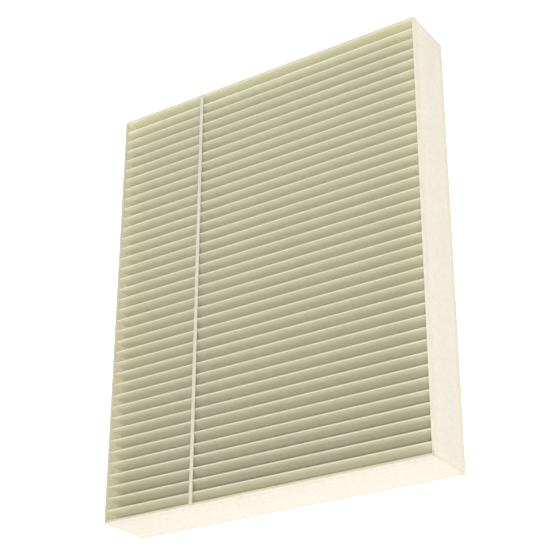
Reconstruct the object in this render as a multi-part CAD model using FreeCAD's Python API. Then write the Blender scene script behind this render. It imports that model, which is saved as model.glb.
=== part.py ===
import FreeCAD, Part
import math
import os

# Panel filter for cabin air: one sheet of nonwoven medium folded into a pack of deep pleats, edged with
# four flat strips of pale felt and kept to its pitch by one glue bead across the front fold tips.
# The panel lies on its back. X runs along the pleats, Y runs across them from the bottom end to the top
# end, and Z runs through the depth, up out of the front face. The origin is the middle of the back.
# All sizes are in millimetres.

# The edged panel
WIDTH = 180.0
LENGTH = 229.0
DEPTH = 30.0

# The felt strips, with softened long edges and rounder corners where two strips meet
STRIP_THICKNESS = 1.2
STRIP_EDGE_RADIUS = 0.3
CORNER_RADIUS = 0.8

# The folded medium, creased so hard that the two legs of a fold meet inside it
MEDIUM_THICKNESS = 0.4
PLEAT_PITCH = 5.986
FOLD_SETBACK = 0.4  # from either rim in to the fold tips

# The bead, measured from the outer face of the left strip
BEAD_FROM_LEFT = 51.5
BEAD_WIDTH = 2.0
BEAD_SIDE_OVER_RIM = 0.15  # the rim is the strips' front edge
BEAD_CROWN = 0.25  # rise of the rounded top over the sides
BEAD_GRIP = 0.3  # how far the bead hangs down past the fold tips

# The space inside the four strips, which the pack fills
PACK_WIDTH = WIDTH - 2 * STRIP_THICKNESS
PACK_LENGTH = LENGTH - 2 * STRIP_THICKNESS
FRONT_TIP = DEPTH - FOLD_SETBACK
BACK_TIP = FOLD_SETBACK

# Each end space between a strip and the first fold takes about one pitch
FRONT_FOLD_COUNT = round(PACK_LENGTH / PLEAT_PITCH) - 1

X_AXIS = FreeCAD.Vector(1, 0, 0)
Y_AXIS = FreeCAD.Vector(0, 1, 0)
Z_AXIS = FreeCAD.Vector(0, 0, 1)

FRONT = 1
BACK = -1


def section_point(y, z):
    """A point of the pack's cross-section, on the inner face of the left strip."""
    return FreeCAD.Vector(-PACK_WIDTH / 2, y, z)


def creases():
    """Points where the sheet is creased, from the bottom end to the top end, each with its side."""
    front_z = FRONT_TIP - MEDIUM_THICKNESS
    back_z = BACK_TIP + MEDIUM_THICKNESS
    end_y = PACK_LENGTH / 2 - MEDIUM_THICKNESS
    first_front_y = -PLEAT_PITCH * (FRONT_FOLD_COUNT - 1) / 2
    found = [(section_point(-end_y, back_z), BACK)]
    for number in range(FRONT_FOLD_COUNT):
        y = first_front_y + number * PLEAT_PITCH
        found.append((section_point(y, front_z), FRONT))
        found.append((section_point(y + PLEAT_PITCH / 2, back_z), BACK))
    found[-1] = (section_point(end_y, back_z), BACK)
    return found


def leg_direction(start, end, side):
    """Direction of the flat leg from one crease to the next, leaning so that it runs on smoothly
    from the outside of the first fold to the inside of the second."""
    span = end - start
    lean = math.degrees(math.asin(MEDIUM_THICKNESS / span.Length))
    return FreeCAD.Rotation(X_AXIS, -side * lean).multVec(span).normalize()


def leg_directions(folds):
    """Directions of the legs in turn: down the first end leg, along the pleats, up the last end leg."""
    between = [leg_direction(a, b, side) for (a, side), (b, _) in zip(folds, folds[1:])]
    return [-Z_AXIS] + between + [Z_AXIS]


def sheet_face(folds, directions, face):
    """Edges of the front or back face of the folded sheet, from the bottom end's cut to the top end's.

    The face goes round the outside of its own folds, and comes to a point at the crease in the others.
    """
    inset = MEDIUM_THICKNESS if face == FRONT else 0
    here = section_point(inset - PACK_LENGTH / 2, FRONT_TIP)
    edges = []
    for (crease, side), arriving, leaving in zip(folds, directions, directions[1:]):
        if side != face:
            edges.append(Part.LineSegment(here, crease).toShape())
            here = crease
            continue
        in_radius = X_AXIS.cross(arriving) * side * MEDIUM_THICKNESS
        out_radius = X_AXIS.cross(leaving) * side * MEDIUM_THICKNESS
        tip_radius = (in_radius + out_radius).normalize() * MEDIUM_THICKNESS
        edges.append(Part.LineSegment(here, crease + in_radius).toShape())
        edges.append(Part.Arc(crease + in_radius, crease + tip_radius, crease + out_radius).toShape())
        here = crease + out_radius
    edges.append(Part.LineSegment(here, section_point(PACK_LENGTH / 2 - inset, FRONT_TIP)).toShape())
    return edges


def pleated_medium():
    """The sheet folded into V pleats, with a flat leg at each end that lies against the end strip."""
    folds = creases()
    directions = leg_directions(folds)
    front = sheet_face(folds, directions, FRONT)
    back = sheet_face(folds, directions, BACK)
    bottom_cut = Part.LineSegment(back[0].firstVertex().Point, front[0].firstVertex().Point)
    top_cut = Part.LineSegment(front[-1].lastVertex().Point, back[-1].lastVertex().Point)
    outline = front + [top_cut.toShape()] + back[::-1] + [bottom_cut.toShape()]
    return Part.Face(Part.Wire(outline)).extrude(X_AXIS * PACK_WIDTH)


def side_strip(side):
    """A strip that closes the pleat ends, between the end strips; side is -1 left and 1 right."""
    outer_x = side * WIDTH / 2
    inner_x = side * PACK_WIDTH / 2
    corner = FreeCAD.Vector(min(outer_x, inner_x), -PACK_LENGTH / 2, 0)
    strip = Part.makeBox(STRIP_THICKNESS, PACK_LENGTH, DEPTH, corner)
    long_edges = [edge for edge in strip.Edges if abs(edge.tangentAt(edge.FirstParameter).y) > 0.5]
    return strip.makeFillet(STRIP_EDGE_RADIUS, long_edges)


def end_strip(end):
    """A full-width strip that covers the side strips' ends; end is -1 bottom and 1 top."""
    outer_y = end * LENGTH / 2
    inner_y = end * PACK_LENGTH / 2
    corner = FreeCAD.Vector(-WIDTH / 2, min(outer_y, inner_y), 0)
    block = Part.makeBox(WIDTH, STRIP_THICKNESS, DEPTH, corner)
    upright = [edge for edge in block.Edges if abs(edge.tangentAt(edge.FirstParameter).z) > 0.5]
    middle_y = (PACK_LENGTH + STRIP_THICKNESS) / 2
    outer_upright = [edge for edge in upright if abs(edge.CenterOfMass.y) > middle_y]
    strip = block.makeFillet(min(CORNER_RADIUS, STRIP_THICKNESS - STRIP_EDGE_RADIUS), outer_upright)
    rim_height = DEPTH / 2 - STRIP_EDGE_RADIUS
    rims = [edge for edge in strip.Edges if abs(edge.CenterOfMass.z - DEPTH / 2) > rim_height]
    return strip.makeFillet(STRIP_EDGE_RADIUS, rims)


def glue_bead(medium, top_strip):
    """A straight bead with a rounded top, laid over the fold tips and the top rim, which print into it.

    It starts at the bottom strip's inner face and ends flush with the top strip's outer face.
    """
    centre_x = BEAD_FROM_LEFT - WIDTH / 2
    left_x = centre_x - BEAD_WIDTH / 2
    right_x = centre_x + BEAD_WIDTH / 2
    start_y = -PACK_LENGTH / 2
    under_z = FRONT_TIP - BEAD_GRIP
    side_z = DEPTH + BEAD_SIDE_OVER_RIM
    lower_left = FreeCAD.Vector(left_x, start_y, under_z)
    upper_left = FreeCAD.Vector(left_x, start_y, side_z)
    crown = FreeCAD.Vector(centre_x, start_y, side_z + BEAD_CROWN)
    upper_right = FreeCAD.Vector(right_x, start_y, side_z)
    lower_right = FreeCAD.Vector(right_x, start_y, under_z)
    section = Part.Wire(
        [
            Part.LineSegment(lower_left, upper_left).toShape(),
            Part.Arc(upper_left, crown, upper_right).toShape(),
            Part.LineSegment(upper_right, lower_right).toShape(),
            Part.LineSegment(lower_right, lower_left).toShape(),
        ]
    )
    strand = Part.Face(section).extrude(Y_AXIS * (LENGTH / 2 - start_y))
    return strand.cut(medium).cut(top_strip)


def main():
    medium = pleated_medium()
    top_strip = end_strip(1)
    pieces = {
        "pleated_medium": medium,
        "left_side_strip": side_strip(-1),
        "right_side_strip": side_strip(1),
        "top_end_strip": top_strip,
        "bottom_end_strip": end_strip(-1),
        "stabilising_bead": glue_bead(medium, top_strip),
    }
    os.makedirs("parts", exist_ok=True)
    for name, shape in pieces.items():
        shape.exportStep(os.path.join("parts", name + ".step"))


main()
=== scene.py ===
import math

import bpy
import numpy as np
from mathutils import Matrix, Vector


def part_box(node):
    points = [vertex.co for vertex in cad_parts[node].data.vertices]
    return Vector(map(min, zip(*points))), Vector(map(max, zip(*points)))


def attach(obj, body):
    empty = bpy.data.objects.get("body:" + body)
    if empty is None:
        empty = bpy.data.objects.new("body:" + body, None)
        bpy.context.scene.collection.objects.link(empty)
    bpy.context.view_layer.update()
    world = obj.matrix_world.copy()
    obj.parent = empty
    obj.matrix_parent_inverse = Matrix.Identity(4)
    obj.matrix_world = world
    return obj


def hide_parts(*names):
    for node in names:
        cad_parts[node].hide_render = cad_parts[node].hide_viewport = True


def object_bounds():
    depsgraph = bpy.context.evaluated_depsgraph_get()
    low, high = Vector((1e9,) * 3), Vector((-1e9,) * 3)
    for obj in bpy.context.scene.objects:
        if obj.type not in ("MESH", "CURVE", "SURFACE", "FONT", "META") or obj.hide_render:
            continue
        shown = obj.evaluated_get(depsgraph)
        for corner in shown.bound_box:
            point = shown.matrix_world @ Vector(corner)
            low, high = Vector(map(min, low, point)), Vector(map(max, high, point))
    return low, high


# Pleated panel filter: a folded sheet of nonwoven medium, four felt edge strips and a bead of set glue.
# Lengths are in metres. X runs along the pleats, Y across them and Z up out of the front face.

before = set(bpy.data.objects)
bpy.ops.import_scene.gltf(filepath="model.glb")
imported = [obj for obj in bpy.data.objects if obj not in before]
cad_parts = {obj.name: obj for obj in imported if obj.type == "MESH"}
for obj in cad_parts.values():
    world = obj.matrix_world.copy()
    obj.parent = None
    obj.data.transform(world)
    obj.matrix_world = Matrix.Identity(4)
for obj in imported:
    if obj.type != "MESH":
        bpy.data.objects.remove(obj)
CAD_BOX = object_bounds()

MM = 0.001
WORLD_UP = Vector((0, 0, 1))

# The space that the pack fills between the strips, and the bead's place
PACK_LOW, PACK_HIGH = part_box("pleated_medium")
BEAD_LOW, BEAD_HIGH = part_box("stabilising_bead")

# About the highest that a sum of slow waves reaches before it is scaled
WAVE_PEAK = 1.5

# Folded medium
MEDIUM_THICKNESS = 0.4 * MM
PLEAT_PITCH = 5.986 * MM
CREASE_RADIUS = 0.02 * MM  # inside a fold
FOLD_WANDER = 0.01 * MM  # of a fold's line, across the pleats
FOLD_DIP = 0.01 * MM  # of a fold's line, in depth
LEG_BOW = 0.035 * MM
CUT_ROW = 0.05 * MM  # width of the row of faces beside a cut edge
ARC_STEPS = 8
LEG_STEPS = 6
STEPS_ALONG_PLEAT = 32
MEDIUM_SEED = 37

# Felt strips: each one's CAD node, the radius of its outer corners, of its rims outside and of its rims
# inside, how far from the middle of the depth its cut edge's tint is full, and that tint of glue and
# painted shade
STRIPS = (
    ("left_side_strip", 0.3 * MM, 0.2 * MM, 0.12 * MM, 14.35 * MM, (0.62, 0.63, 0.57, 1.0)),
    ("right_side_strip", 0.3 * MM, 0.6 * MM, 0.12 * MM, 14.65 * MM, (0.86, 0.86, 0.83, 1.0)),
    ("bottom_end_strip", 0.8 * MM, 0.4 * MM, 0.4 * MM, 14.9 * MM, (0.76, 0.76, 0.71, 1.0)),
    ("top_end_strip", 0.8 * MM, 0.2 * MM, 0.12 * MM, 14.95 * MM, (0.80, 0.81, 0.75, 1.0)),
)
SEAM_RADIUS = 0.3 * MM  # of the upright edges on a strip's inner side
FELT_SWELL = 0.035 * MM
SWELL_WAVES = 3
STRIP_STEPS = 120
STRIP_LEVELS = 12
CORNER_STEPS = 6
RIM_STEPS = 5

# Glue bead
BEAD_SAG = 0.10 * MM  # between two fold tips
BEAD_SPREAD = 0.03 * MM  # of either side at a fold tip
BEAD_DRIFT = 0.03 * MM  # of its width, crown and line
BEAD_LIFT = 0.15 * MM  # from the CAD bead's lowest point up to the underside
BEAD_END = 0.25 * MM  # the way over which an end is drawn in
BEAD_END_WIDTH = 0.8  # share of the width and of the height that is left at an end
BEAD_END_HEIGHT = 0.7
SIDE_POWER = 0.5  # a lower power makes that side of the section squarer
CROWN_POWER = 0.75
UNDER_POWER = 0.35
BEAD_STEPS = 600
BEAD_ROUND_STEPS = 18
BEAD_SEED = 12

# Camera, solved from the panel's corners in the photograph
PHOTO_SIDE = 560
FOCAL_LENGTH_PIXELS = 1486.5
SENSOR = 36.0
CAMERA_PLACE = Vector((0.36130, -0.32949, 0.56752))
CAMERA_LOOK = Vector((-0.48819522, 0.44597135, -0.7501833))
CAMERA_UP = Vector((0.24231325, 0.89504668, 0.3744005))

# Light: where each soft lamp stands as seen from the panel, its strength and how many degrees wide it
# looks. Three low lamps graze the folds from the bottom end, two stand on the left, three on the camera's
# side and one low behind.
LAMPS = (
    ("low_key", (0.1, -0.88, 0.46), 0.33, 3),
    ("right_key", (0.5, -0.8, 0.4), 0.22, 4),
    ("upper_key", (0.1, -0.8, 0.6), 0.14, 6),
    ("side", (-1.3, -0.2, 1.0), 0.80, 25),
    ("left_key", (-1.0, -0.6, 0.85), 0.25, 8),
    ("right_fill", (0.8, -0.2, 0.6), 0.16, 20),
    ("fill", (0.46, -0.335, 0.80), 1.87, 12),
    ("top_fill", (0.25, -0.38, 0.9), 0.62, 20),
    ("back_fill", (-0.5, 0.85, 0.12), 0.4, 30),
)

# The near part of the fill, a round lamp at the camera
NEAR_FILL_POWER = 3.36
NEAR_FILL_SIZE = 0.15

SKY_STRENGTH = 0.07
FLOOR_COLOUR = (0.85, 0.85, 0.85, 1.0)
FLOOR_GLOW = 0.45
FLOOR_SIDE = 8.0
FLOOR_GAP = 0.05 * MM
WHITE = (1.0, 1.0, 1.0, 1.0)


def display(red, green, blue):
    """A colour as a screen shows it, from 0 to 255, as linear light with alpha 1."""
    screen = np.array([red, green, blue]) / 255
    linear = np.where(screen <= 0.04045, screen / 12.92, ((screen + 0.055) / 1.055) ** 2.4)
    return (*map(float, linear), 1.0)


# Finishes: each one's darkest and lightest tone, the share of light that comes through, and its colour
MEDIUM_TONES = display(244, 241, 215), display(249, 247, 224)
MEDIUM_THROUGH = 0.37, display(235, 235, 210)
FELT_TONES = display(239, 233, 219), display(254, 249, 237)
FELT_THROUGH = 0.25, display(252, 247, 234)
GLUED_TONES = display(215, 212, 191), display(227, 224, 204)
GLUED_THROUGH = 0.5, display(246, 242, 224)
# Painted light: the right strip's glued side is paler than the other strips' glued sides.
PAINTED_LIGHT_GLUED_TONES = display(248, 245, 228), display(254, 251, 236)
PAINTED_LIGHT_GLUED_THROUGH = 0.4, display(252, 249, 236)
GLUE_TONES = display(227, 223, 205), display(237, 233, 218)
GLUE_THROUGH = 0.4, display(237, 233, 218)

# Fibres: the scale of thick and thin places, the scale and share of single fibres, and their stretch in Z
MEDIUM_FIBRES = {"Cloud Scale": 350, "Fibre Scale": 2400, "Fibre Share": 0.75}, 0.35
FELT_FIBRES = {"Cloud Scale": 420, "Fibre Scale": 1800, "Fibre Share": 0.45}, 1.0
FIBRE_BUMP = 0.5
FIBRE_RELIEF = 0.1 * MM
GLUE_BUMP = 0.3
GLUE_RELIEF = 0.15 * MM

# Tints that multiply a finish where reach_mask is 1: axis, middle, start, end and colour. The medium has
# painted shade away from the side strips and from the ends, so that it looks lit beside them. The felt has
# painted shade towards both edges of its face, and the bottom strip's also at its corners. A cut edge's
# tint, of glue and painted shade, rises over CUT_FADE.
MIDDLE_DEPTH = PACK_LOW.z / 2 + PACK_HIGH.z / 2
MEDIUM_PAINTED_SHADE = (
    ("X", 0.0, 88.8 * MM, 72 * MM, (0.94, 0.94, 0.94, 1.0)),
    ("Y", -1.3 * MM, 109.8 * MM, 107.4 * MM, (0.86, 0.86, 0.86, 1.0)),
)
FELT_EDGE_PAINTED_SHADE = ("Z", MIDDLE_DEPTH, 9 * MM, 14.5 * MM, (0.93, 0.925, 0.91, 1.0))
BOTTOM_CORNER_PAINTED_SHADE = ("X", 0.0, 88.4 * MM, 89.5 * MM, (0.85, 0.85, 0.83, 1.0))
CUT_FADE = 0.15 * MM


# Meshes

def grid_quads(numbers):
    """Quads between neighbouring rows and columns of a table of point numbers."""
    a, b = numbers[:-1, :-1], numbers[1:, :-1]
    c, d = numbers[1:, 1:], numbers[:-1, 1:]
    return np.stack([a, b, c, d], axis=-1).reshape(-1, 4)


def new_piece(name, points, quads, materials, finish=0, smooth=True):
    """A mesh object at the origin from an array of points and an array of quads.

    finish is the number of each quad's material in materials, or one number for them all.
    """
    mesh = bpy.data.meshes.new(name)
    mesh.from_pydata(points.reshape(-1, 3).tolist(), [], quads.tolist())
    mesh.update()
    for material in materials:
        mesh.materials.append(material)
    mesh.polygons.foreach_set("material_index", np.broadcast_to(finish, len(quads)).astype(np.int32))
    mesh.polygons.foreach_set("use_smooth", np.full(len(quads), smooth))
    piece = bpy.data.objects.new(name, mesh)
    bpy.context.collection.objects.link(piece)
    return piece


def dress(piece, node):
    """Lets a piece stand for its CAD node."""
    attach(piece, "root")
    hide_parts(node)


def slow_waves(random, count, positions, length, harmonics=4):
    """count smooth curves over positions, each a sum of sines with random phases, from about -1 to 1."""
    order = np.arange(1, harmonics + 1)
    phase = random.uniform(0, 2 * np.pi, (count, harmonics, 1))
    weight = random.normal(0, 1, (count, harmonics, 1)) / order[None, :, None]
    turn = 2 * np.pi * order[None, :, None] * positions[None, None, :] / length
    return (weight * np.sin(turn + phase)).sum(axis=1) / WAVE_PEAK


# Folded medium

def creases():
    """Crease points of the sheet from the bottom end to the top end as (y, z), and each one's side.

    The side is 1 at a front fold and -1 at a back fold. Front folds are one pitch apart about the middle,
    back folds lie half way between, and the first and last back folds lie beside the end strips.
    """
    length = PACK_HIGH.y - PACK_LOW.y
    front_count = round(length / PLEAT_PITCH) - 1
    radius = MEDIUM_THICKNESS + CREASE_RADIUS
    number = np.arange(2 * front_count + 1)
    y = (number - front_count) * PLEAT_PITCH / 2
    y[0] = PACK_LOW.y + radius
    y[-1] = PACK_HIGH.y - radius
    side = np.where(number % 2 == 1, 1.0, -1.0)
    z = np.where(side > 0, PACK_HIGH.z - radius, PACK_LOW.z + radius)
    return np.stack([y, z], axis=1), side


def in_turn(bends, legs):
    """Values at the bends and at the legs between them, in one row from the bottom end to the top end."""
    pairs = np.concatenate([bends[:-1], legs], axis=1)
    return np.concatenate([pairs.reshape(-1, *bends.shape[2:]), bends[-1]])


def middle_layer():
    """The sheet's middle layer across the pleats: points (y, z), unit normals, fold place and bow share.

    Each leg runs straight between two bends, tangent to both. A bend is an arc about its crease, whose
    normal turns evenly from one leg's to the next's. Fold place is the crease's number, in between along
    a leg, and bow share rises from 0 at a leg's ends to 1 at its middle. Each end leg runs straight up
    from the last bend to a cut edge.
    """
    points, side = creases()
    radius = CREASE_RADIUS + MEDIUM_THICKNESS / 2
    span = np.diff(points, axis=0)
    lean = np.arcsin(2 * radius / np.hypot(span[:, 0], span[:, 1]))
    heading = np.arctan2(span[:, 1], span[:, 0]) - side[:-1] * lean
    heading = np.concatenate([[-np.pi / 2], heading, [np.pi / 2]])
    normal = heading + np.pi / 2

    turn = np.linspace(0, 1, ARC_STEPS + 1)
    arc_normal = normal[:-1, None] * (1 - turn) + normal[1:, None] * turn
    direction = np.stack([np.cos(arc_normal), np.sin(arc_normal)], axis=-1)
    arc = points[:, None, :] + side[:, None, None] * radius * direction
    arc_place = np.repeat(np.arange(len(points), dtype=float)[:, None], ARC_STEPS + 1, axis=1)

    share = np.linspace(0, 1, LEG_STEPS + 1)[1:-1]
    leg = arc[:-1, -1:, :] * (1 - share[:, None]) + arc[1:, :1, :] * share[:, None]
    leg_normal = np.repeat(normal[1:-1, None], len(share), axis=1)
    leg_place = np.arange(len(points) - 1)[:, None] + share[None, :]
    leg_bow = np.repeat(np.sin(np.pi * share)[None, :], len(points) - 1, axis=0)

    path = in_turn(arc, leg)
    cut = PACK_HIGH.z - np.array([[0.0], [CUT_ROW]])
    first = np.hstack([np.full((2, 1), path[0, 0]), cut])
    last = np.hstack([np.full((2, 1), path[-1, 0]), cut[::-1]])
    path = np.vstack([first, path, last])
    angle = np.pad(in_turn(arc_normal, leg_normal), 2, mode="edge")
    place = np.pad(in_turn(arc_place, leg_place), 2, mode="edge")
    bow = np.pad(in_turn(np.zeros_like(arc_place), leg_bow), 2)
    return path, np.stack([np.cos(angle), np.sin(angle)], axis=1), place, bow


def folded_medium(material):
    """The folded sheet: its middle layer carried along X, half the thickness out to either side.

    Each fold wanders a little in Y and dips a little in Z along its length, and each leg bows a little
    along its normal, all by slow waves. The two faces are joined at the cut edges, with a narrow row of
    faces beside each cut so that it is shaded as a sharp edge. The flat size comes with the piece: the
    width along X, and the length of the middle layer.
    """
    random = np.random.default_rng(MEDIUM_SEED)
    path, normal, place, bow = middle_layer()
    width = PACK_HIGH.x - PACK_LOW.x
    along = np.linspace(PACK_LOW.x + CUT_ROW, PACK_HIGH.x - CUT_ROW, STEPS_ALONG_PLEAT + 1)
    along = np.concatenate([[PACK_LOW.x], along, [PACK_HIGH.x]])
    fold_count = int(place.max()) + 1
    side = np.where(np.arange(fold_count) % 2 == 1, 1.0, -1.0)[:, None]
    wander = slow_waves(random, fold_count, along, width) * FOLD_WANDER
    dip = -side * np.abs(slow_waves(random, fold_count, along, width)) * FOLD_DIP
    sway = slow_waves(random, fold_count, along, width, harmonics=3) * LEG_BOW
    wander[[0, -1]] = 0
    sway[[0, -1]] = 0

    before = np.floor(place).astype(int)
    after = np.minimum(before + 1, fold_count - 1)
    part = (place - before)[:, None]
    shift_y = wander[before] * (1 - part) + wander[after] * part
    shift_z = dip[before] * (1 - part) + dip[after] * part
    out = sway[before] * bow[:, None] + np.array([0.5, -0.5])[:, None, None] * MEDIUM_THICKNESS
    y = path[:, 0:1] + normal[:, 0:1] * out + shift_y
    z = path[:, 1:2] + normal[:, 1:2] * out + shift_z
    x = np.broadcast_to(along, y.shape)
    front, back = np.stack([x, y, z], axis=-1)

    points = np.concatenate([front, back])
    numbers = np.arange(points.shape[0] * points.shape[1]).reshape(points.shape[:2])
    front_side, back_side = np.split(numbers, 2)
    quads = np.concatenate([
        grid_quads(front_side)[:, ::-1],
        grid_quads(back_side),
        grid_quads(np.stack([front_side[:, 0], back_side[:, 0]]))[:, ::-1],
        grid_quads(np.stack([front_side[:, -1], back_side[:, -1]])),
        grid_quads(np.stack([front_side[0], back_side[0]])),
        grid_quads(np.stack([front_side[-1], back_side[-1]]))[:, ::-1],
    ])
    piece = new_piece("folded_medium", points, quads, [material])
    dress(piece, "pleated_medium")
    sheet_length = float(np.hypot(*np.diff(path, axis=0).T).sum())
    return piece, (width, sheet_length)


# Felt strips

def corner_arc(centre, radius, start):
    """Points of a quarter circle about a centre, from the start angle anticlockwise."""
    angle = start + np.linspace(0, np.pi / 2, CORNER_STEPS + 1)
    return np.array(centre) + radius * np.stack([np.cos(angle), np.sin(angle)], axis=1)


def strip_outline(length, thickness, outer_radius, inner_radius):
    """A strip seen from the front as two chains of points (along, out), the outer and the inner side.

    Both run from the strip's low end to its high end, with a quarter circle at each end. A point of one
    chain lies across the strip from the same point of the other.
    """
    half = length / 2
    run = np.linspace(-1, 1, STRIP_STEPS)[1:-1, None] * (half - outer_radius)
    outer = np.vstack([
        corner_arc((-half + outer_radius, thickness - outer_radius), outer_radius, np.pi / 2)[::-1],
        np.hstack([run, np.full_like(run, thickness)]),
        corner_arc((half - outer_radius, thickness - outer_radius), outer_radius, 0)[::-1],
    ])
    inner = np.vstack([
        corner_arc((-half + inner_radius, inner_radius), inner_radius, np.pi),
        np.hstack([run, np.zeros_like(run)]),
        corner_arc((half - inner_radius, inner_radius), inner_radius, -np.pi / 2),
    ])
    return outer, inner


def felt_strip(node, corner_radius, rim_radius, inner_rim_radius, seed, face_finish, glued_finish):
    """A felt strip: its outline carried up through the depth, drawn in at both rims by a quarter circle.

    The quarter circle has one radius on the outer side and another on the inner side. The outer face
    swells and sinks by slow waves in both directions. The inner face, which is glued to the pleat ends,
    stays flat and takes the glued finish between the rims. Each rim is closed by quads across the strip.
    """
    random = np.random.default_rng(seed)
    low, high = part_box(node)
    size = high - low
    centre = (low + high) / 2
    across_x = size.x < size.y
    thickness = size.x if across_x else size.y
    length = size.y if across_x else size.x
    outer, inner = strip_outline(length, thickness, corner_radius, SEAM_RADIUS)
    outline = np.vstack([outer, inner[::-1]])

    half = len(outer)
    rim = np.repeat([rim_radius, inner_rim_radius], half)
    turn = np.linspace(0, np.pi / 2, RIM_STEPS + 1)
    height = size.z / 2 - rim
    rim_up = height + rim * np.sin(turn)[:, None]
    rim_in = rim * (1 - np.cos(turn))[:, None]
    wall_up = np.linspace(-height, height, STRIP_LEVELS + 1)[1:-1]
    level = np.vstack([-rim_up[::-1], wall_up, rim_up])
    inset = np.vstack([rim_in[::-1], np.zeros_like(wall_up), rim_in])

    forward = np.roll(outline, -1, axis=0) - np.roll(outline, 1, axis=0)
    outward = np.stack([-forward[:, 1], forward[:, 0]], axis=1)
    outward /= np.hypot(outward[:, 0], outward[:, 1])[:, None]
    wave_along = slow_waves(random, SWELL_WAVES, outline[:, 0], length, harmonics=9)
    wave_up = slow_waves(random, SWELL_WAVES, level[:, 0], 2 * size.z, harmonics=4)
    outer_share = np.clip(outline[:, 1] / thickness, 0, 1) ** 2
    swell = (wave_up[:, :, None] * wave_along[:, None, :]).sum(axis=0) * outer_share * FELT_SWELL
    plan = outline[None, :, :] + outward[None, :, :] * (swell - inset)[:, :, None]

    side = -1 if (centre.x if across_x else centre.y) < 0 else 1
    along = plan[..., 0]
    out = plan[..., 1] - thickness / 2
    up = level + centre.z
    if across_x:
        points = np.stack([centre.x + side * out, centre.y + along, up], axis=-1)
    else:
        points = np.stack([centre.x + along, centre.y + side * out, up], axis=-1)

    numbers = np.arange(along.size).reshape(along.shape)
    closed = np.hstack([numbers, numbers[:, :1]])
    walls = grid_quads(closed)[:, ::-1]
    back_rim = grid_quads(np.stack([numbers[0, :half], numbers[0, half:][::-1]]))
    front_rim = grid_quads(np.stack([numbers[-1, :half], numbers[-1, half:][::-1]]))[:, ::-1]
    quads = np.concatenate([walls, back_rim, front_rim])
    glued = np.zeros((len(level) - 1, len(outline)), dtype=int)
    glued[RIM_STEPS:-RIM_STEPS, half:] = 1
    finish = np.concatenate([glued.ravel(), np.zeros(len(back_rim) + len(front_rim), dtype=int)])
    if (side > 0) != across_x:
        quads = quads[:, ::-1]
    piece = new_piece("felt_" + node, points, quads, [face_finish, glued_finish], finish)
    dress(piece, node)


# Glue bead

def signed_power(values, power):
    """The power of each value's size, with the value's own sign."""
    return np.sign(values) * np.abs(values) ** power


def glue_strand(material):
    """The bead: a rounded section carried along Y from the bottom strip to the top strip's outer face.

    The section's place across is a power of the cosine, and its height a power of the sine, of the angle
    round it. At each fold tip the strand spreads and rides up, and between two tips it narrows and sags,
    by a cosine of its place in the pitch. Its width, crown and line also drift by slow waves, and both
    ends are drawn in by a quarter circle.
    """
    random = np.random.default_rng(BEAD_SEED)
    along = np.linspace(BEAD_LOW.y, BEAD_HIGH.y, BEAD_STEPS + 1)
    length = BEAD_HIGH.y - BEAD_LOW.y
    centre_x = (BEAD_LOW.x + BEAD_HIGH.x) / 2
    half_width = (BEAD_HIGH.x - BEAD_LOW.x) / 2
    tip = (1 + np.cos(2 * np.pi * along / PLEAT_PITCH)) / 2
    drift = slow_waves(random, 3, along, length, harmonics=24) * BEAD_DRIFT
    end = np.clip(np.minimum(along - BEAD_LOW.y, BEAD_HIGH.y - along) / BEAD_END, 0, 1)
    body = np.sqrt(end * (2 - end))
    width = half_width - BEAD_SPREAD * (1 - tip) + drift[0]
    width = width * (BEAD_END_WIDTH + (1 - BEAD_END_WIDTH) * body)
    crown = BEAD_HIGH.z - BEAD_SAG * (1 - tip) - np.abs(drift[1])
    under = BEAD_LOW.z + BEAD_LIFT - BEAD_SAG * (1 - tip)
    middle = (crown + under) / 2
    half_height = (crown - under) / 2 * (BEAD_END_HEIGHT + (1 - BEAD_END_HEIGHT) * body)

    angle = (np.arange(2 * BEAD_ROUND_STEPS) + 0.5) * np.pi / BEAD_ROUND_STEPS
    across = signed_power(np.cos(angle), SIDE_POWER)
    rise = signed_power(np.sin(angle), np.where(angle > np.pi, UNDER_POWER, CROWN_POWER))
    x = centre_x + drift[2][:, None] + width[:, None] * across
    z = middle[:, None] + half_height[:, None] * rise
    y = np.broadcast_to(along[:, None], x.shape)
    points = np.stack([x, y, z], axis=-1)

    numbers = np.arange(x.size).reshape(x.shape)
    walls = grid_quads(np.hstack([numbers, numbers[:, :1]]))
    upper, lower = numbers[:, :BEAD_ROUND_STEPS], numbers[:, BEAD_ROUND_STEPS:][:, ::-1]
    near_end = grid_quads(np.stack([upper[0], lower[0]]))[:, ::-1]
    far_end = grid_quads(np.stack([upper[-1], lower[-1]]))
    piece = new_piece("glue_strand", points, np.concatenate([walls, near_end, far_end]), [material])
    dress(piece, "stabilising_bead")


# Materials

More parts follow.
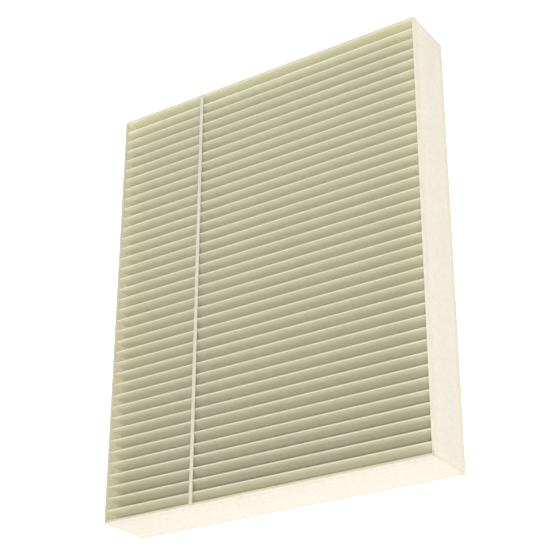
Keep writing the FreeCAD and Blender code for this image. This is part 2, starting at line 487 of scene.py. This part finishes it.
def fibre_group():
    """Node group of a matted nonwoven: a slow cloud of thick and thin places, and fine crossing fibres."""
    group = bpy.data.node_groups.new("fibre_mat", "ShaderNodeTree")
    face = group.interface
    face.new_socket("Place", in_out="INPUT", socket_type="NodeSocketVector")
    for name in ("Cloud Scale", "Fibre Scale", "Fibre Share"):
        face.new_socket(name, in_out="INPUT", socket_type="NodeSocketFloat")
    for name in ("Tone", "Relief"):
        face.new_socket(name, in_out="OUTPUT", socket_type="NodeSocketFloat")
    nodes, links = group.nodes, group.links
    source = nodes.new("NodeGroupInput")
    sink = nodes.new("NodeGroupOutput")
    cloud = nodes.new("ShaderNodeTexNoise")
    cloud.inputs["Detail"].default_value = 3.0
    cloud.inputs["Roughness"].default_value = 0.55
    links.new(source.outputs["Place"], cloud.inputs["Vector"])
    links.new(source.outputs["Cloud Scale"], cloud.inputs["Scale"])
    fibre = nodes.new("ShaderNodeTexNoise")
    fibre.inputs["Detail"].default_value = 4.0
    fibre.inputs["Roughness"].default_value = 0.7
    fibre.inputs["Distortion"].default_value = 1.6
    links.new(source.outputs["Place"], fibre.inputs["Vector"])
    links.new(source.outputs["Fibre Scale"], fibre.inputs["Scale"])
    tone = nodes.new("ShaderNodeMix")
    links.new(source.outputs["Fibre Share"], tone.inputs["Factor"])
    links.new(cloud.outputs["Fac"], tone.inputs["A"])
    links.new(fibre.outputs["Fac"], tone.inputs["B"])
    links.new(tone.outputs["Result"], sink.inputs["Tone"])
    links.new(fibre.outputs["Fac"], sink.inputs["Relief"])
    return group


def new_material(name):
    """A new material, its nodes and links, and its Principled shader."""
    material = bpy.data.materials.new(name)
    material.use_nodes = True
    nodes, links = material.node_tree.nodes, material.node_tree.links
    return material, nodes, links, nodes["Principled BSDF"]


def calculate(nodes, links, operation, *terms):
    """The result of a Math node. Each term is a socket or a plain number."""
    node = nodes.new("ShaderNodeMath")
    node.operation = operation
    for socket, term in zip(node.inputs, terms):
        if isinstance(term, float):
            socket.default_value = term
        else:
            links.new(term, socket)
    return node.outputs["Value"]


def reach_mask(nodes, links, place, axis, middle, start, end):
    """A mask that rises smoothly from 0 to 1 as the distance from a middle plane goes from start to end."""
    split = nodes.new("ShaderNodeSeparateXYZ")
    links.new(place, split.inputs["Vector"])
    away = calculate(nodes, links, "SUBTRACT", split.outputs[axis], middle)
    rise = nodes.new("ShaderNodeMapRange")
    rise.interpolation_type = "SMOOTHSTEP"
    rise.inputs["From Min"].default_value = start
    rise.inputs["From Max"].default_value = end
    links.new(calculate(nodes, links, "ABSOLUTE", away), rise.inputs["Value"])
    return rise.outputs["Result"]


def two_tones(nodes, links, pattern, tones):
    """A colour that goes from the dark to the light tone while the pattern goes from 0.3 to 0.7."""
    ramp = nodes.new("ShaderNodeValToRGB")
    for stop, position, tone in zip(ramp.color_ramp.elements, (0.3, 0.7), tones):
        stop.position = position
        stop.color = tone
    links.new(pattern, ramp.inputs["Fac"])
    return ramp.outputs["Color"]


def raise_relief(nodes, links, shader, pattern, strength, height):
    """Shades a surface as if the pattern stood up from it."""
    relief = nodes.new("ShaderNodeBump")
    relief.inputs["Strength"].default_value = strength
    relief.inputs["Distance"].default_value = height
    links.new(pattern, relief.inputs["Height"])
    links.new(relief.outputs["Normal"], shader.inputs["Normal"])


def let_light_through(material, share, colour):
    """Turns a share of a surface's reflected light into light that comes through it."""
    nodes, links = material.node_tree.nodes, material.node_tree.links
    glow = nodes.new("ShaderNodeBsdfTranslucent")
    glow.inputs["Color"].default_value = colour
    mixed = nodes.new("ShaderNodeMixShader")
    mixed.inputs["Fac"].default_value = share
    links.new(nodes["Principled BSDF"].outputs["BSDF"], mixed.inputs[1])
    links.new(glow.outputs["BSDF"], mixed.inputs[2])
    links.new(mixed.outputs["Shader"], nodes["Material Output"].inputs["Surface"])


def fibre_material(name, group, tones, through, fibres, tints=()):
    """A nonwoven whose colour drifts between two tones, and which lets some light through.

    fibres gives the group's values and the pattern's stretch in Z, for fibres that lie mostly down the
    legs of the pleats. Each tint is an axis, a middle, a start and an end for reach_mask, and the colour
    that multiplies there.
    """
    material, nodes, links, shader = new_material(name)
    shader.inputs["Roughness"].default_value = 0.95
    shader.inputs["Specular IOR Level"].default_value = 0.15
    values, streak = fibres
    place = nodes.new("ShaderNodeTexCoord").outputs["Object"]
    stretch = nodes.new("ShaderNodeMapping")
    stretch.inputs["Scale"].default_value = (1.0, 1.0, streak)
    links.new(place, stretch.inputs["Vector"])
    mat = nodes.new("ShaderNodeGroup")
    mat.node_tree = group
    for socket, value in values.items():
        mat.inputs[socket].default_value = value
    links.new(stretch.outputs["Vector"], mat.inputs["Place"])
    colour = two_tones(nodes, links, mat.outputs["Tone"], tones)
    for axis, middle, start, end, tint in tints:
        multiply = nodes.new("ShaderNodeMix")
        multiply.data_type = "RGBA"
        multiply.blend_type = "MULTIPLY"
        multiply.inputs["B"].default_value = tint
        mask = reach_mask(nodes, links, place, axis, middle, start, end)
        links.new(mask, multiply.inputs["Factor"])
        links.new(colour, multiply.inputs["A"])
        colour = multiply.outputs["Result"]
    links.new(colour, shader.inputs["Base Color"])
    raise_relief(nodes, links, shader, mat.outputs["Relief"], FIBRE_BUMP, FIBRE_RELIEF)
    let_light_through(material, *through)
    return material


def glue_material():
    """Set glue: pale and milky, a little cloudy, satin, with small lumps."""
    material, nodes, links, shader = new_material("set_glue")
    shader.inputs["Specular IOR Level"].default_value = 0.35
    place = nodes.new("ShaderNodeTexCoord").outputs["Object"]
    lumps = nodes.new("ShaderNodeTexNoise")
    lumps.inputs["Scale"].default_value = 900
    lumps.inputs["Detail"].default_value = 3.0
    links.new(place, lumps.inputs["Vector"])
    links.new(two_tones(nodes, links, lumps.outputs["Fac"], GLUE_TONES), shader.inputs["Base Color"])
    gloss = nodes.new("ShaderNodeMapRange")
    gloss.inputs["To Min"].default_value = 0.35
    gloss.inputs["To Max"].default_value = 0.6
    links.new(lumps.outputs["Fac"], gloss.inputs["Value"])
    links.new(gloss.outputs["Result"], shader.inputs["Roughness"])
    raise_relief(nodes, links, shader, lumps.outputs["Fac"], GLUE_BUMP, GLUE_RELIEF)
    let_light_through(material, *GLUE_THROUGH)
    return material


# Stage

def floor_material():
    """A pale floor that shows as plain white away from the object and keeps its soft shadow."""
    material, nodes, links, shader = new_material("pale_floor")
    shader.inputs["Base Color"].default_value = FLOOR_COLOUR
    shader.inputs["Roughness"].default_value = 1.0
    shader.inputs["Specular IOR Level"].default_value = 0.0
    shader.inputs["Emission Color"].default_value = WHITE
    path = nodes.new("ShaderNodeLightPath").outputs
    seen = calculate(nodes, links, "MAXIMUM", path["Is Camera Ray"], path["Is Transmission Ray"])
    shown = calculate(nodes, links, "MAXIMUM", seen, path["Is Glossy Ray"])
    glow = calculate(nodes, links, "MULTIPLY", shown, FLOOR_GLOW)
    links.new(glow, shader.inputs["Emission Strength"])
    return material


def make_floor():
    """A wide flat floor just under the object."""
    level = CAD_BOX[0].z - FLOOR_GAP
    corners = np.array([(-1, -1), (1, -1), (1, 1), (-1, 1)]) * FLOOR_SIDE / 2
    points = np.hstack([corners, np.full((4, 1), level)])
    new_piece("floor", points, np.array([[0, 1, 2, 3]]), [floor_material()], smooth=False)


def facing(back, up):
    """The turn of a lamp or camera that looks away from back, with its own Y as near to up as it can be."""
    back = back.normalized()
    right = up.cross(back).normalized()
    return Matrix((right, back.cross(right), back)).transposed().to_4x4()


def place_object(data, place):
    """A new lamp or camera at its place in the scene."""
    placed = bpy.data.objects.new(data.name, data)
    placed.matrix_world = place
    bpy.context.collection.objects.link(placed)
    return placed


def make_lamps():
    """The studio lamps, all far away, so that each lights the whole panel alike."""
    for name, place, strength, width in LAMPS:
        data = bpy.data.lights.new(name, "SUN")
        data.energy = strength
        data.angle = math.radians(width)
        place_object(data, facing(Vector(place), WORLD_UP))


def make_near_fill():
    """A soft round lamp at the camera's place, as strong at any distance, and not seen by the camera."""
    data = bpy.data.lights.new("near_fill", "AREA")
    data.shape = "DISK"
    data.size = NEAR_FILL_SIZE
    data.energy = NEAR_FILL_POWER
    data.use_nodes = True
    nodes, links = data.node_tree.nodes, data.node_tree.links
    falloff = nodes.new("ShaderNodeLightFalloff")
    falloff.inputs["Strength"].default_value = 1.0
    links.new(falloff.outputs["Constant"], nodes["Emission"].inputs["Strength"])
    lamp = place_object(data, Matrix.Translation(CAMERA_PLACE) @ facing(CAMERA_PLACE, WORLD_UP))
    lamp.visible_camera = False


def make_sky():
    """A dim white sky all round, which the camera sees as plain white."""
    world = bpy.data.worlds.new("studio")
    bpy.context.scene.world = world
    world.use_nodes = True
    nodes, links = world.node_tree.nodes, world.node_tree.links
    sky = nodes["Background"]
    sky.inputs["Color"].default_value = WHITE
    path = nodes.new("ShaderNodeLightPath")
    level = nodes.new("ShaderNodeMapRange")
    level.inputs["To Min"].default_value = SKY_STRENGTH
    level.inputs["To Max"].default_value = 1.0
    links.new(path.outputs["Is Camera Ray"], level.inputs["Value"])
    links.new(level.outputs["Result"], sky.inputs["Strength"])


def make_camera():
    """The camera at the place and angle that the photograph was taken from."""
    data = bpy.data.cameras.new("camera")
    data.sensor_width = SENSOR
    data.lens = FOCAL_LENGTH_PIXELS / PHOTO_SIDE * SENSOR
    data.clip_start = 0.01
    data.clip_end = 50.0
    place = Matrix.Translation(CAMERA_PLACE) @ facing(-CAMERA_LOOK, CAMERA_UP)
    bpy.context.scene.camera = place_object(data, place)


def make_filter():
    """The folded medium, the four felt strips and the bead, each in its own finish.

    The right strip's glued side has painted light: it is paler than the others', which brightens the folds
    beside it. A strip's place in STRIPS is the seed of its swell.
    """
    mat = fibre_group()
    # The medium's finish has painted shade away from the side strips and the ends.
    medium_finish = fibre_material(
        "nonwoven_medium", mat, MEDIUM_TONES, MEDIUM_THROUGH, MEDIUM_FIBRES, MEDIUM_PAINTED_SHADE)
    glued = fibre_material("glued_felt", mat, GLUED_TONES, GLUED_THROUGH, FELT_FIBRES)
    # The right strip's glued finish is paler, painted light.
    painted_light_glued = fibre_material("painted_light_glued_felt", mat, PAINTED_LIGHT_GLUED_TONES, PAINTED_LIGHT_GLUED_THROUGH, FELT_FIBRES)

    medium, flat = folded_medium(medium_finish)
    # Each strip's cut edge tint is glue with painted shade.
    for seed, (node, corner, rim, inner_rim, cut_from, cut_glue_and_shade) in enumerate(STRIPS, 1):
        side = node.split("_")[0]
        # Each strip's felt has painted shade towards both edges of its face, and a cut edge of glue and
        # painted shade.
        tints = [FELT_EDGE_PAINTED_SHADE, ("Z", MIDDLE_DEPTH, cut_from - CUT_FADE, cut_from, cut_glue_and_shade)]
        if side == "bottom":
            # The bottom strip's felt also has painted shade at its corners.
            tints.append(BOTTOM_CORNER_PAINTED_SHADE)
        felt = fibre_material(side + "_felt", mat, FELT_TONES, FELT_THROUGH, FELT_FIBRES, tints)
        felt_strip(node, corner, rim, inner_rim, seed, felt, painted_light_glued if side == "right" else glued)
    glue_strand(glue_material())


def main():
    bpy.context.scene.view_settings.view_transform = "Standard"
    bpy.context.scene.cycles.diffuse_bounces = 12
    bpy.context.scene.cycles.max_bounces = 24
    make_camera()
    make_sky()
    make_lamps()
    make_near_fill()
    make_floor()
    make_filter()


main()
